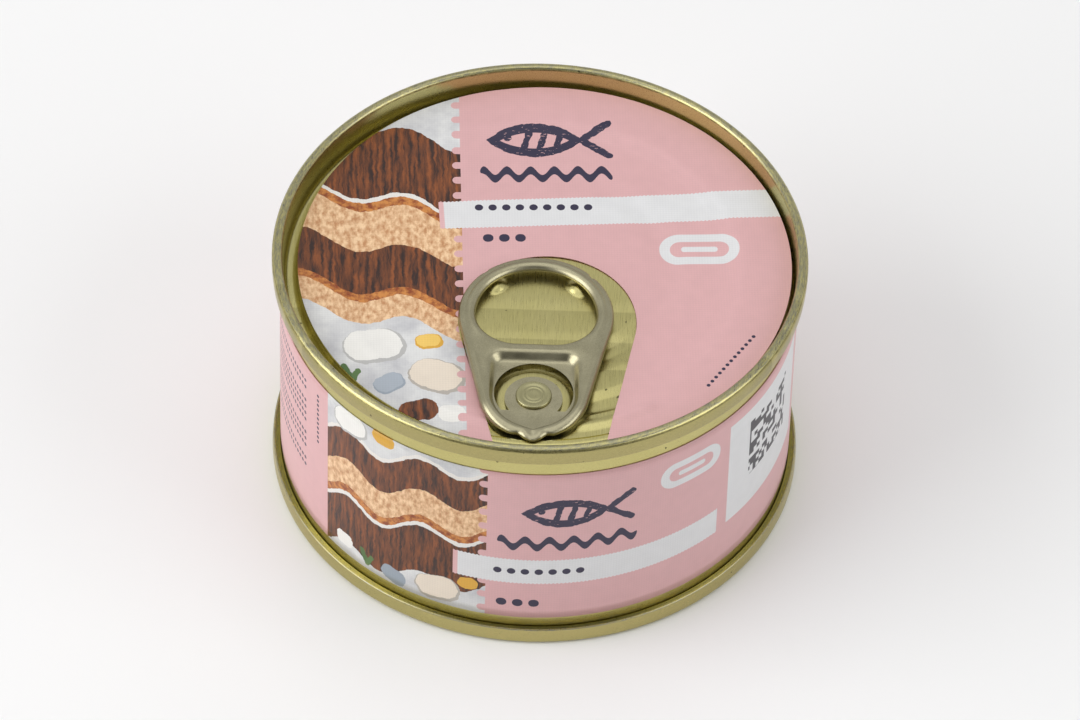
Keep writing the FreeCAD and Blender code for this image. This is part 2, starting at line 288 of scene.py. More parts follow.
# ------------------------------------------------------------------------------------------------
# Easy-open end: the same pressing with a scored panel. Rings and a score line run round it, a pad
# rises under the rivet, two small domes hold the ring up, and a bar beside the nose stiffens it.
# ------------------------------------------------------------------------------------------------
TAB_X = -0.3 * MM
TAB_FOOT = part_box("pull_tab")[0].z
RIVET_Y = -25.3 * MM
PANEL_TOP = CAN_TOP - 3.1 * MM
PANEL_EDGE = 33.0 * MM  # the score line; the presses stay inside it
DOME = (5.77 * MM, -3.51 * MM)  # from the tab's middle line to a dome
DOME_LEAN = math.radians(41)
DOME_LONG, DOME_WIDE, DOME_RISE = 1.75 * MM, 1.35 * MM, 0.62 * MM
BAR_RADIUS = 30.8 * MM
BAR_START, BAR_STOP = 11.6, 31.0  # degrees round from the front
BAR_WIDE, BAR_RISE = 0.85 * MM, 0.3 * MM
WELL = (0.4 * MM, -4.8 * MM)  # middle of the shallow well under the finger ring
WELL_DEPTH = 0.05 * MM


def ramp(value, low, high):
    """0 below low, 1 above high, smooth between."""
    share = min(max((value - low) / (high - low), 0), 1)
    return share * share * (3 - 2 * share)


def lid_relief(x, y, z):
    """Height after the presses that aren't rings: pad, domes, bar and the finger well."""
    pad = math.hypot(x - TAB_X, y - RIVET_Y)
    shoulder = 0.2 * ramp(pad, 2.3 * MM, 3.2 * MM) + 0.9 * ramp(pad, 4.9 * MM, 6.4 * MM)
    raised = TAB_FOOT - (0.03 + shoulder) * MM
    z += (raised - z) * (1 - ramp(pad, 6.6 * MM, 8.5 * MM))
    for side in (-1, 1):
        lean = -side * DOME_LEAN
        dx = x - TAB_X - side * DOME[0]
        dy = y - DOME[1]
        along = (dx * math.cos(lean) + dy * math.sin(lean)) / DOME_LONG
        across = (-dx * math.sin(lean) + dy * math.cos(lean)) / DOME_WIDE
        away = math.hypot(along, across)
        if away < 1:
            z += DOME_RISE * (1 - away * away) ** 1.1
    around = math.degrees(math.atan2(abs(x), -y))
    past_end = math.radians(max(BAR_START - around, around - BAR_STOP, 0)) * BAR_RADIUS
    away = math.hypot(math.hypot(x, y) - BAR_RADIUS, past_end) / BAR_WIDE
    if away < 1:
        z += BAR_RISE * (1 - away * away) ** 0.8
    well = math.hypot(x - WELL[0], y - WELL[1])
    return z - WELL_DEPTH * (1 - ramp(well, 13.3 * MM, 14.4 * MM))


lid_panel = [
    (0, 3.65, 0),
    (16.0 * MM, 3.65, 1.6),
    (17.8 * MM, 3.95, 1.6),
    (19.4 * MM, 3.95, 1.6),
    (21.4 * MM, 3.6, 1.6),
    (24.6 * MM, 3.6, 1.6),
    (26.2 * MM, 3.85, 1.6),
    (28.3 * MM, 3.85, 0.8),
    (29.1 * MM, 3.1, 0.35),
    (PANEL_EDGE, 3.1, 0),
    (PANEL_EDGE + 0.12 * MM, 3.3, 0),
    (PANEL_EDGE + 0.24 * MM, 3.1, 0),
    (PANEL_RADIUS, 3.1, 0.5),
]
top = outwards(spun(section(end_line(lid_panel, CAN_TOP, 1), 0.4 * MM), 256))
for vert in top.verts:
    if math.hypot(vert.co.x, vert.co.y) < PANEL_EDGE:
        vert.co.z = lid_relief(*vert.co)

# The panel's sheet shows its grain more, and pale bands cross it, each with a darker, sharp edge on
# its front side: painted reflections of the lamps' edges, with painted shade before them. They are
# (share of the way from 24 mm in front of the axis to the axis, brightness).
lid_plate, tree, tint = tinplate("lacquered lid sheet", "CDC482", "D6CD90", 0.13)
across = node(tree, "SeparateXYZ", {0: node(tree, "TexCoord")["Object"]})["Y"]
span = node(tree, "MapRange", {"Value": across, "From Min": -24 * MM, "From Max": 0.0})[0]
band = node(tree, "ValToRGB", {"Fac": span})
reflection_tones = band["Color"].node.color_ramp
for place, light in (
    (0.205, 0.74), (0.213, 1.0), (0.25, 0.96), (0.285, 0.86),
    (0.435, 0.8), (0.443, 1.0), (0.48, 0.97), (0.515, 0.86),
    (0.67, 0.8), (0.678, 1.0), (0.72, 0.97), (0.77, 0.88),
):
    reflection_tones.elements.new(place).color = (light, light, light, 1)
for end in (reflection_tones.elements[0], reflection_tones.elements[-1]):
    end.color = (0.88, 0.88, 0.88, 1)
# The painted reflections lighten and darken the lid's gold in bands.
painted_reflections = node(tree, "VectorMath", {0: tint, 1: band["Color"]}, operation="MULTIPLY")[0]
tree.links.new(painted_reflections, tree.nodes["Principled BSDF"].inputs["Base Color"])
thicken(piece("easy_open_lid", top, lid_plate, "gold_lacquer", "lid"))

# ------------------------------------------------------------------------------------------------
# Rivet: drawn up from the lid's own sheet through the tab's tongue and headed over. The punch
# leaves fine rings on its head.
# ------------------------------------------------------------------------------------------------
rivet_line = [
    (0, -0.05, 0),
    (1.7, -0.05, 0),
    (1.7, 0.36, 0),
    (2.42, 0.36, 0.05),
    (2.55, 0.52, 0.1),
    (2.42, 0.75, 0.12),
    (2.0, 0.75, 0.2),
    (1.6, 0.69, 0.2),
    (1.35, 0.73, 0.12),
    (1.15, 0.685, 0.12),
    (0.8, 0.715, 0.3),
    (0, 0.695, 0),
]
rivet = spun(section(
    [(r * MM, TAB_FOOT + z * MM, c * MM) for r, z, c in rivet_line], 0.3 * MM,
), 96)
bmesh.ops.translate(rivet, verts=rivet.verts, vec=(TAB_X, RIVET_Y, 0))

# The punch wears the lacquer thin, so that the head looks greyer than the panel.
head_plate = tinplate("worn lacquered tinplate", "A7A27A", "B0AB84", 0.04)[0]
piece("rivet_head", rivet, head_plate, "gold_lacquer", "lid")

# ------------------------------------------------------------------------------------------------
# Pull tab: pressed from a steel strip whose edges are curled under. It has a finger ring at the
# back, a recess with a tongue cut free round the rivet, and a beak at the nose that breaks the
# score. Pressing leaves a bead round the ring's hole and a pleat each side of the ring's back.
# ------------------------------------------------------------------------------------------------
RING = Vector((0, -10.15))  # the tab is drawn in plain millimetres, from the can's axis
RIVET = Vector((0, -25.3))
RING_RADIUS = 10.95
FRONT = (*RIVET, 7.75, 1)
tab_outline = [(*RING, RING_RADIUS, 1), FRONT, (0, -32.9, 0.8, 1), FRONT]
RECESS_FRONT = (*RIVET, 6.2, 0.4)
recess_outline = [
    (4.35, -19.85, 2.1, 1),
    (-4.35, -19.85, 2.1, 1),
    RECESS_FRONT,
    (0, -30.9, 1.0, 0.4),
    RECESS_FRONT,
]
PLEATS = ((46, 0.34), (-43, 0.16))  # degrees from the ring's back, and depth
FLOOR = 0.36  # height of the recess's floor


def belt(circles, growth, count):
    """Points along a belt round circles, each (x, y, radius, share of the growth it takes)."""
    rounds = [(x, y, radius + growth * share) for x, y, radius, share in circles]
    normals = []
    for here, after in zip(rounds, rounds[1:] + rounds[:1]):
        heading = math.atan2(after[1] - here[1], after[0] - here[0])
        apart = math.hypot(after[0] - here[0], after[1] - here[1])
        normals.append(heading - math.acos((here[2] - after[2]) / apart))
    stretches = []
    for index, (x, y, radius, _) in enumerate(circles):
        after = circles[(index + 1) % len(circles)]
        stretches.append((max(radius, 3.0) * 1.4, math.hypot(x - after[0], y - after[1])))
    total = sum(arc + run for arc, run in stretches)
    points = []
    for index, (x, y, radius) in enumerate(rounds):
        arrive = normals[index - 1]
        leave = arrive + (normals[index] - arrive) % (2 * math.pi)
        steps = max(2, round(count * stretches[index][0] / total))
        for step in range(steps):
            angle = arrive + (leave - arrive) * step / steps
            points.append(Vector((x + radius * math.cos(angle), y + radius * math.sin(angle))))
        out = Vector((math.cos(leave), math.sin(leave)))
        after = rounds[(index + 1) % len(rounds)]
        start = Vector((x, y)) + out * radius
        end = Vector(after[:2]) + out * after[2]
        steps = max(1, round(count * stretches[index][1] / total))
        points += [start.lerp(end, step / steps) for step in range(steps)]
    return points


def outer_rim(offset):
    """The tab's outline set in by an offset, with its pleats and the hollows beside its beak."""
    edge = belt(tab_outline, 0, 520)
    inner = belt(tab_outline, -offset, 520)
    points = []
    for rim, point in zip(edge, inner):
        flank = ramp(rim.y, -24.5, -21.0) * (1 - ramp(rim.y, -19.5, -16.5))
        point = rim.lerp(point, 1 + 0.5 * flank)
        fade = math.exp(-offset / 0.6)
        if rim.y < -29:
            point.y += 0.36 * fade * math.exp(-((abs(rim.x) - 2.05) / 0.6) ** 2)
        for turn, deep in PLEATS:
            turn = math.radians(turn)
            spot = RING + RING_RADIUS * Vector((math.sin(turn), math.cos(turn)))
            bite = math.exp(-((rim - spot).length / 0.42) ** 2)
            point = point + (RING - point).normalized() * deep * fade * bite
        points.append(point)
    return points


def finger_hole(offset):
    """The ring's hole: a half round at the back, flat between round corners at the front."""
    points = []
    for x, radius, start, stop, steps in (
        (0, 8.55, 0, 180, 120), (-2.6, 5.95, 180, 270, 40), (2.6, 5.95, 270, 360, 40),
    ):
        for step in range(steps):
            angle = math.radians(start + (stop - start) * step / steps)
            out = Vector((math.cos(angle), math.sin(angle)))
            points.append(RING + Vector((x, 0)) + (radius + offset) * out)
    return points


def recess(offset):
    """The recess's outline, grown by an offset."""
    return belt(recess_outline, offset, 300)


def tongue_slit(offset):
    """The crescent cut behind the rivet that frees the tongue."""
    points = []
    for radius, rise, back, steps in ((5.57 + offset, 0.55, False, 80), (4.05, -0.4, True, 64)):
        start = math.asin((-2.75 - rise) / radius)
        sweep = math.pi - 2 * start
        for step in range(steps + 1):
            angle = start + sweep * (steps - step if back else step) / steps
            out = Vector((math.cos(angle), math.sin(angle)))
            points.append(RIVET + Vector((0, rise)) + radius * out)
    return points


def level(table, reach):
    """Height at a distance in from an edge, from (distance, height) pairs."""
    for (near, low), (far, high) in zip(table, table[1:]):
        if reach <= far:
            return low + (high - low) * max(reach - near, 0) / (far - near)
    return table[-1][1]


# How the top rises from each edge, in millimetres: round the ring, along the flanks, round the
# hole and along the web between hole and recess.
ring_edge = (
    (0, 0.6), (0.07, 0.82), (0.2, 0.98), (0.38, 1.08), (0.6, 1.15), (0.76, 1.17),
    (0.9, 1.19), (1.02, 1.25), (1.2, 1.33),
)
flank_edge = (
    (0, 0.62), (0.07, 0.93), (0.2, 1.2), (0.38, 1.37), (0.6, 1.47),
    (0.8, 1.5), (1.05, 1.48), (1.25, 1.45), (1.5, 1.43),
)
hole_edge = (
    (0, 0.75), (0.05, 0.95), (0.14, 1.1), (0.28, 1.25), (0.44, 1.36), (0.6, 1.43),
    (0.76, 1.47), (0.9, 1.48), (0.98, 1.47), (1.1, 1.44), (1.25, 1.38),
)
web_edge = (
    (0, 0.8), (0.05, 1.02), (0.14, 1.2), (0.28, 1.33), (0.44, 1.4), (0.6, 1.43), (1.25, 1.45),
)


def outer_level(point, reach):
    """Height of the tab's top near its outline."""
    back = ramp(point.y, -19.0, -12.5)
    return level(ring_edge, reach) * back + level(flank_edge, reach) * (1 - back)


def hole_level(point, reach):
    """Height of the tab's top near the ring's hole."""
    back = ramp(point.y, -15.9, -12.0)
    return level(hole_edge, reach) * back + level(web_edge, reach) * (1 - back)


tab = bmesh.new()
rim_index = tab.verts.layers.int.new("rim")


def loop_of(outline, offset, height):
    """A closed loop of edges along an outline."""
    verts = []
    for index, point in enumerate(outline(offset)):
        vert = tab.verts.new((point.x, point.y, height))
        vert[rim_index] = index
        verts.append(vert)
    return [tab.edges.new(pair) for pair in zip(verts, verts[1:] + verts[:1])]


def rows(loop, outline, steps, height=None):
    """Rows of faces from a loop over (offset, height) steps.

    Where a step's height is None, the given shape of the top gives it.
    """
    edge = outline(0)
    for offset, fixed in steps:
        grown = bmesh.ops.extrude_edge_only(tab, edges=loop)["geom"]
        verts = {part for part in grown if isinstance(part, bmesh.types.BMVert)}
        edges = [part for part in grown if isinstance(part, bmesh.types.BMEdge)]
        loop = [part for part in edges if set(part.verts) <= verts]
        points = outline(offset)
        for vert in verts:
            point = points[vert[rim_index]]
            reach = (point - edge[vert[rim_index]]).length
            vert.co = (point.x, point.y, height(point, reach) if fixed is None else fixed)
    return loop


outer_foot = loop_of(outer_rim, 0.5, 0)
outer_top = rows(outer_foot, outer_rim, [(0.22, 0.03), (0.07, 0.15), (0, 0.38), (0, 0.6)])
outer_top = rows(outer_top, outer_rim, [
    (offset, None) for offset in (0.05, 0.12, 0.22, 0.34, 0.48, 0.62, 0.76, 0.9, 1.02)
], outer_level)
hole_foot = loop_of(finger_hole, 0.95, 0)
hole_top = rows(hole_foot, finger_hole, [(0.4, 0.03), (0.1, 0.15), (0, 0.4), (0, 0.78)])
hole_top = rows(hole_top, finger_hole, [
    (offset, None) for offset in (0.05, 0.14, 0.28, 0.44, 0.6, 0.76, 0.9, 0.98, 1.1, 1.25)
], hole_level)
recess_rim = loop_of(recess, 0.35, 1.46)
recess_floor = rows(recess_rim, recess, [
    (0.2, 1.43), (0.02, 1.36), (-0.18, 1.23), (-0.4, 1.03), (-0.62, 0.8),
    (-0.84, 0.6), (-1.04, 0.46), (-1.22, 0.38), (-1.35, FLOOR),
])
slit_top = loop_of(tongue_slit, 0, FLOOR)
slit_foot = rows(slit_top, tongue_slit, [(0.05, 0.26), (0.3, 0.1), (0.35, 0)])
for loops in (
    (outer_top, hole_top, recess_rim),
    (recess_floor, slit_top),
    (outer_foot, hole_foot, slit_foot),
):
    bmesh.ops.triangle_fill(
        tab, edges=[edge for loop in loops for edge in loop], use_beauty=True, use_dissolve=False,
    )
bmesh.ops.remove_doubles(tab, verts=tab.verts, dist=0.0005)
bmesh.ops.recalc_face_normals(tab, faces=tab.faces)

# The ring's curl is open at its back, the bank before the tongue is low, and the beak thins
# towards its tip, where a fold stands each side of a crease.
for vert in tab.verts:
    x, y, z = vert.co
    inside = 1 - ramp(math.hypot(x, y - RING.y), 9.2, 10.2)
    z += max(0.78 - z, 0) * 0.75 * inside * ramp(y, -9, -4)
    bank = (1 - ramp(y, -27.5, -24.5)) * (1 - ramp(math.hypot(x, y - RIVET.y), 6.0, 6.7))
    z -= max(z - FLOOR, 0) * 0.22 * bank
    drop = 0.62 * (1 - ramp(y, -34.2, -27.5))
    if y < -29.5 and z > 0.5:
        swell = math.exp(-((abs(x) - 1.05) / 0.5) ** 2) - 0.9 * math.exp(-(x / 0.5) ** 2)
        z += 0.2 * swell * math.exp(-((y + 32.7) / 0.75) ** 2)
    vert.co = (TAB_X + x * MM, y * MM, TAB_FOOT + z * (1 - drop) * MM)

# Bright rolled steel, tumbled after pressing: a warm grey satin with a fine even grain, a little
# duller in patches. The grain is drawn at 0.15 mm, which is coarser than the real one.
tab_steel, tree, shader = finish("pressed satin steel", Metallic=1.0)
place = node(tree, "TexCoord")["Object"]
grain = node(tree, "TexNoise", {
    "Vector": place, "Scale": 6500, "Detail": 2, "Roughness": 0.7,
})[0]
cloud = node(tree, "TexNoise", {"Vector": place, "Scale": 420, "Detail": 3})[0]
steel = node(tree, "Mix", {
    "Factor": cloud, 6: linear("A39D80"), 7: linear("B4AE92"),
}, data_type="RGBA")[2]
grit = node(tree, "MapRange", {
    "Value": grain, "From Min": 0.3, "From Max": 0.7, "To Min": 0.82, "To Max": 1.12,
})[0]
colour = node(tree, "VectorMath", {0: steel, "Scale": grit}, operation="SCALE")[0]
tree.links.new(colour, shader["Base Color"])
gloss = node(tree, "MapRange", {
    "Value": cloud, "From Min": 0.3, "From Max": 0.7, "To Min": 0.27, "To Max": 0.36,
})[0]
tree.links.new(gloss, shader["Roughness"])
relief = node(tree, "Bump", {"Height": grain, "Strength": 0.15, "Distance": 0.02 * MM})[0]
tree.links.new(relief, shader["Normal"])
piece("tab", tab, tab_steel, "tab_steel", "pull_tab", crease=60)

# ------------------------------------------------------------------------------------------------
# Lid label: a round of thin coated paper glued to the panel, with a keyhole cut for the tab. It
# follows the panel's rings softly and reaches a little over the groove. Its print is generic.
# ------------------------------------------------------------------------------------------------
LABEL_MIDDLE = Vector((0.7, 0.5))  # millimetres; it was stuck on a little off the can's axis
LABEL_RADIUS = 35.05
KEYHOLE = [(1.6, RING.y, 12.6, 1), (-3.9, -38, 0.5, 1), (9.0, -38, 0.5, 1)]  # a belt's circles


def paper_level(radius):
    """Height of the paper over the panel's rings, which it bridges, above the panel's rim."""
    levels = (
        (0, -0.55), (15.5, -0.55), (18.2, -0.68), (21.4, -0.5), (24.6, -0.48),
        (26.2, -0.42), (27.6, -0.25), (29.1, 0), (40, 0),
    )
    for (inner, low), (outer, high) in zip(levels, levels[1:]):
        if radius <= outer * MM:
            return (low + (high - low) * ramp(radius, inner * MM, outer * MM)) * MM


paper = spun(section([(0, PANEL_TOP, 0), (36.05 * MM, PANEL_TOP, 0)], 0.55 * MM), 280)
if max(paper.faces, key=lambda face: face.calc_area()).normal.z < 0:
    bmesh.ops.reverse_faces(paper, faces=paper.faces)
for vert in paper.verts:
    x, y, z = vert.co
    radius = math.hypot(x, y)
    base = PANEL_TOP + paper_level(radius)
    wave = noise.noise(Vector((x, y, 0)) * 160) * 0.04
    wave += noise.noise(Vector((x, y, 4)) * 420) * 0.012
    vert.co.z = max(lid_relief(x, y, base), base) + (0.07 + wave * ramp(radius, 0, 6 * MM)) * MM


def cutter(name, outline):
    """An upright prism on an outline, high enough to cut the lid label."""
    prism = bmesh.new()
    foot = PANEL_TOP - 2.4 * MM
    face = prism.faces.new([prism.verts.new((p.x * MM, p.y * MM, foot)) for p in outline])
    grown = bmesh.ops.extrude_face_region(prism, geom=[face])["geom"]
    raised = [part for part in grown if isinstance(part, bmesh.types.BMVert)]
    bmesh.ops.translate(prism, verts=raised, vec=(0, 0, 4 * MM))
    bmesh.ops.recalc_face_normals(prism, faces=prism.faces)
    data = bpy.data.meshes.new(name)
    prism.to_mesh(data)
    prism.free()
    made = bpy.data.objects.new(name, data)
    bpy.context.scene.collection.objects.link(made)
    return made


turns = [2 * math.pi * step / 480 for step in range(480)]
disc = cutter("disc", [
    LABEL_MIDDLE + LABEL_RADIUS * Vector((math.cos(turn), math.sin(turn))) for turn in turns
])
keyhole = cutter("keyhole", [point + Vector((TAB_X / MM, 0)) for point in belt(KEYHOLE, 0, 300)])
data = bpy.data.meshes.new("label")
paper.to_mesh(data)
paper.free()
sheet_of_paper = bpy.data.objects.new("label", data)
bpy.context.scene.collection.objects.link(sheet_of_paper)
thick = sheet_of_paper.modifiers.new("thick", "SOLIDIFY")
thick.thickness = 0.1 * MM
thick.offset = 1
for prism, cut in ((disc, "INTERSECT"), (keyhole, "DIFFERENCE")):
    trim = sheet_of_paper.modifiers.new(cut, "BOOLEAN")
    trim.object = prism
    trim.operation = cut
    trim.solver = "EXACT"
seen_now = bpy.context.evaluated_depsgraph_get()
paper = bmesh.new()
paper.from_mesh(sheet_of_paper.evaluated_get(seen_now).data)
for spare in (sheet_of_paper, disc, keyhole):
    bpy.data.objects.remove(spare)


def block(tree, place, x, y, wide, tall, turn=0, corner=0.02):
    """Where a printed block with round corners lies; a disc is a block that is all corner."""
    turned = node(tree, "Mapping", {
        "Vector": place, "Location": (x, y, 0), "Rotation": (0, 0, math.radians(turn)),
    }, vector_type="TEXTURE")[0]
    side = node(tree, "VectorMath", {0: turned}, operation="ABSOLUTE")[0]
    half = (wide / 2 - corner, tall / 2 - corner, 0)
    past = node(tree, "VectorMath", {0: side, 1: half}, operation="SUBTRACT")[0]
    past = node(tree, "VectorMath", {0: past, 1: (0, 0, 0)}, operation="MAXIMUM")[0]
    reach = node(tree, "VectorMath", {0: past}, operation="LENGTH")["Value"]
    return node(tree, "Math", {0: reach, 1: corner}, operation="LESS_THAN")[0]


def speckled(tree, place, scale, stretch, low, high, dark, light, turn=0):
    """Two inks mixed by noise; stretch draws the noise out along the turned Y."""
    drawn = node(tree, "Mapping", {
        "Vector": place, "Scale": (scale, scale / stretch, scale),
        "Rotation": (0, 0, math.radians(turn)),
    })[0]
    fleck = node(tree, "TexNoise", {
        "Vector": drawn, "Scale": 1.0, "Detail": 5, "Roughness": 0.6,
    })[0]
    share = node(tree, "MapRange", {"Value": fleck, "From Min": low, "From Max": high})[0]
    return node(tree, "Mix", {
        "Factor": share, 6: linear(dark), 7: linear(light),
    }, data_type="RGBA")[2]


def waved(tree, place, along, length, rise):
    """A place that swings to and fro across a line, once every length along it."""
    swing = node(tree, "Math", {0: along, 1: 2 * math.pi / length}, operation="MULTIPLY")[0]
    swing = node(tree, "Math", {0: swing}, operation="SINE")[0]
    swing = node(tree, "Math", {0: swing, 1: rise}, operation="MULTIPLY")[0]
    lift = node(tree, "CombineXYZ", {"Y": swing})[0]
    return node(tree, "VectorMath", {0: place, 1: lift}, operation="ADD")[0]


def printed_label(name, source, layout):
    """Coated paper with its print; the layout puts the blocks where this label has them.

    A block is (x, y, width, height, turn in degrees, corner round), in millimetres.
    """
    made, tree, shader = finish(
        name, Roughness=0.42, Specular_IOR_Level=0.45, Coat_Weight=0.15, Coat_Roughness=0.3,
    )
    if source == "UV":
        flat = node(tree, "UVMap", uv_map="print")[0]
    else:
        flat = node(tree, "TexCoord")["Object"]
    place = node(tree, "Mapping", {
        "Vector": flat, "Scale": (1 / MM, 1 / MM, 0),
        "Rotation": (0, 0, math.radians(layout["turn"])),
    })[0]
    parts = node(tree, "SeparateXYZ", {"Vector": place})
    rough = node(tree, "TexNoise", {"Vector": place, "Scale": 0.9, "Detail": 3})["Color"]
    shaken = node(tree, "VectorMath", {0: rough, 1: (0.5, 0.5, 0.5)}, operation="SUBTRACT")[0]
    hand_cut = node(tree, "VectorMath", {
        0: shaken, 1: (0.7, 0.7, 0), 2: place,
    }, operation="MULTIPLY_ADD")[0]
    rolling = waved(tree, hand_cut, parts["X"], layout["swell"], 1.5)
    inks = {
        "umber": speckled(
            tree, rolling, 1.6, 9, 0.38, 0.66, "2A120A", "8E4C1E", turn=layout["grain"],
        ),
        "sand": speckled(
            tree, place, 1.3, 1.6, 0.36, 0.62, "C08A5C", "F2CDA2", turn=layout["grain"],
        ),
        "rust": speckled(tree, place, 0.9, 1, 0.4, 0.6, "8A3F14", "CC8540"),
        "pink": linear("D8AAAB"),
        "pale pink": linear("DDB1B2"),
        "navy": linear("29233F"),
        "white": linear("DCDCDD"),
        "black": linear("3F3D42"),
    }
    printed = []  # (where, ink) in the order of printing

    # A made-up shore: rolling bands of rock and sand, and pebbles, on grey stone.
    ink = speckled(tree, place, 0.16, 1, 0.33, 0.6, "BDBDC1", "DEDEDD")
    for kind, *where in layout["shore"]:
        is_band = where[2] > 50
        shape = block(tree, rolling if is_band else hand_cut, *where)
        printed.append((shape, inks.get(kind) or linear(kind)))

    # The pink field, its edge cut like a stamp's: small round teeth 2.9 mm apart reach left.
    teeth = node(tree, "VectorMath", {
        0: place, 1: (900, 1.45, 900), 2: (-900, -1.45, -900),
    }, operation="WRAP")[0]
    teeth = block(tree, teeth, layout["edge"] - 0.35, 0, 1.7, 1.3, 0, 0.64)
    field = block(tree, place, *layout["field"])
    field = node(tree, "Math", {0: teeth, 1: field}, operation="MAXIMUM")[0]
    printed.append((field, inks["pink"]))
    for other in layout["fields"]:
        printed.append((block(tree, place, *other), inks["pink"]))

    # White band across the field, pink at its left end, with a finely toothed edge.
    x, y, wide, tall, turn = layout["band"]
    toothed = waved(tree, place, parts["X"], 2 * math.pi / 11, 0.07)
    printed.append((block(tree, toothed, x - 0.7, y, wide, tall, turn), inks["pale pink"]))
    printed.append((block(tree, toothed, x, y, wide, tall, turn), inks["white"]))

    # Navy dry-brush strokes in the title's place: a plain fish of two arcs, a tail and ribs.
    x, y, size = layout["fish"]
    brush = node(tree, "Mapping", {
        "Vector": place, "Scale": (1.1, 5.0, 1), "Rotation": (0, 0, 0.12),
    })[0]
    brush = node(tree, "TexNoise", {"Vector": brush, "Scale": 1.0, "Detail": 4})[0]
    dry = node(tree, "Math", {0: brush, 1: 0.34}, operation="GREATER_THAN")[0]
    middle = x - 0.1 * size
    discs, arcs = [], []
    for side in (-1, 1):
        disc = block(tree, hand_cut, middle, y + side * 0.62 * size,
                     1.9 * size, 1.9 * size, 0, 0.95 * size)
        hole = block(tree, place, middle, y + side * 0.76 * size,
                     1.84 * size, 1.84 * size, 0, 0.92 * size)
        left = node(tree, "Math", {0: 1.0, 1: hole}, operation="SUBTRACT")[0]
        discs.append(disc)
        arcs.append(node(tree, "Math", {0: disc, 1: left}, operation="MULTIPLY")[0])
    strokes = [node(tree, "Math", {0: arc, 1: disc}, operation="MULTIPLY")[0]
               for arc, disc in zip(arcs, reversed(discs))]
    for dx, dy, wide, tall, turn, corner in (
        (0.82, -0.17, 0.6, 0.13, -38, 0.06),
        (0.82, 0.17, 0.6, 0.13, 38, 0.06),
        (-0.5, 0.05, 0.11, 0.11, 0, 0.05),
        (-0.22, 0, 0.1, 0.42, -14, 0.05),
        (0.02, 0, 0.1, 0.42, -14, 0.05),
        (0.26, 0, 0.1, 0.3, -14, 0.05),
    ):
        strokes.append(block(tree, hand_cut, x + dx * size, y + dy * size,
                             wide * size, tall * size, turn, corner * size))
    fish = strokes[0]
    for stroke in strokes[1:]:
        fish = node(tree, "Math", {0: fish, 1: stroke}, operation="MAXIMUM")[0]
    fish = node(tree, "Math", {0: fish, 1: dry}, operation="MULTIPLY")[0]
    printed.append((fish, inks["navy"]))

    # A wave line under it.
    x, y, wide = layout["wave"]
    sea = waved(tree, place, parts["X"], 3.4, 0.8)
    printed.append((block(tree, sea, x, y, wide, 1.5, 0, 0.7), inks["navy"]))

    # Rows of beads where small print would be, and plain marks where a mark would be.
    for x, y, wide, tall, turn, pitch in layout["ticks"]:
        row = node(tree, "Mapping", {
            "Vector": place, "Location": (x, y, 0), "Rotation": (0, 0, math.radians(turn)),
        }, vector_type="TEXTURE")[0]
        bead = node(tree, "VectorMath", {
            0: row, 1: (pitch / 2, 900, 900), 2: (-pitch / 2, -900, -900),
        }, operation="WRAP")[0]
        bead = block(tree, bead, 0, 0, tall, tall, 0, tall / 2)
        strip = block(tree, place, x, y, wide, tall * 1.2, turn)
        bead = node(tree, "Math", {0: bead, 1: strip}, operation="MULTIPLY")[0]
        printed.append((bead, inks["navy"]))
    for kind, *where in layout["marks"]:
        printed.append((block(tree, place, *where), inks[kind]))

    # A random scatter of dark cells on the white panel, which stands for a printed code.
    for x, y, wide, tall, cell in layout["scatter"]:
        cells = node(tree, "VectorMath", {0: place, 1: (cell, cell, 1)}, operation="SNAP")[0]
        chance = node(tree, "TexWhiteNoise", {"Vector": cells})["Value"]
        dark = node(tree, "Math", {0: chance, 1: 0.48}, operation="LESS_THAN")[0]
        panel = block(tree, place, x, y, wide, tall)
        dark = node(tree, "Math", {0: dark, 1: panel}, operation="MULTIPLY")[0]
        printed.append((dark, inks["black"]))
    for where, colour in printed:
        ink = node(tree, "Mix", {"Factor": where, 6: ink, 7: colour}, data_type="RGBA")[2]

    # The printing screen: fine crossed lines 0.4 mm apart that a flat tint breaks up into.
    lines = []
    for axis in ("X", "Y"):
        line = node(tree, "Math", {
            0: parts[axis], 1: 2 * math.pi / 0.4,
        }, operation="MULTIPLY")[0]
        lines.append(node(tree, "Math", {0: line}, operation="SINE")[0])
    screen = node(tree, "Math", {0: lines[0], 1: lines[1]}, operation="ADD")[0]
    shade = node(tree, "MapRange", {
        "Value": screen, "From Min": -2, "From Max": 2, "To Min": 0.96, "To Max": 1.03,
    })[0]
    patches = node(tree, "TexNoise", {"Vector": place, "Scale": 0.5, "Detail": 4})[0]
    cast = node(tree, "MapRange", {
        "Value": patches, "From Min": 0.3, "From Max": 0.7, "To Min": 0.975, "To Max": 1.02,
    })[0]
    tint = node(tree, "Math", {0: shade, 1: cast}, operation="MULTIPLY")[0]
    colour = node(tree, "VectorMath", {0: ink, "Scale": tint}, operation="SCALE")[0]
    tree.links.new(colour, shader["Base Color"])
    fibre = node(tree, "TexNoise", {"Vector": place, "Scale": 2.2, "Detail": 4})[0]
    bump = node(tree, "Bump", {"Height": fibre, "Strength": 0.1, "Distance": 0.04 * MM})[0]
    tree.links.new(bump, shader["Normal"])
    return made


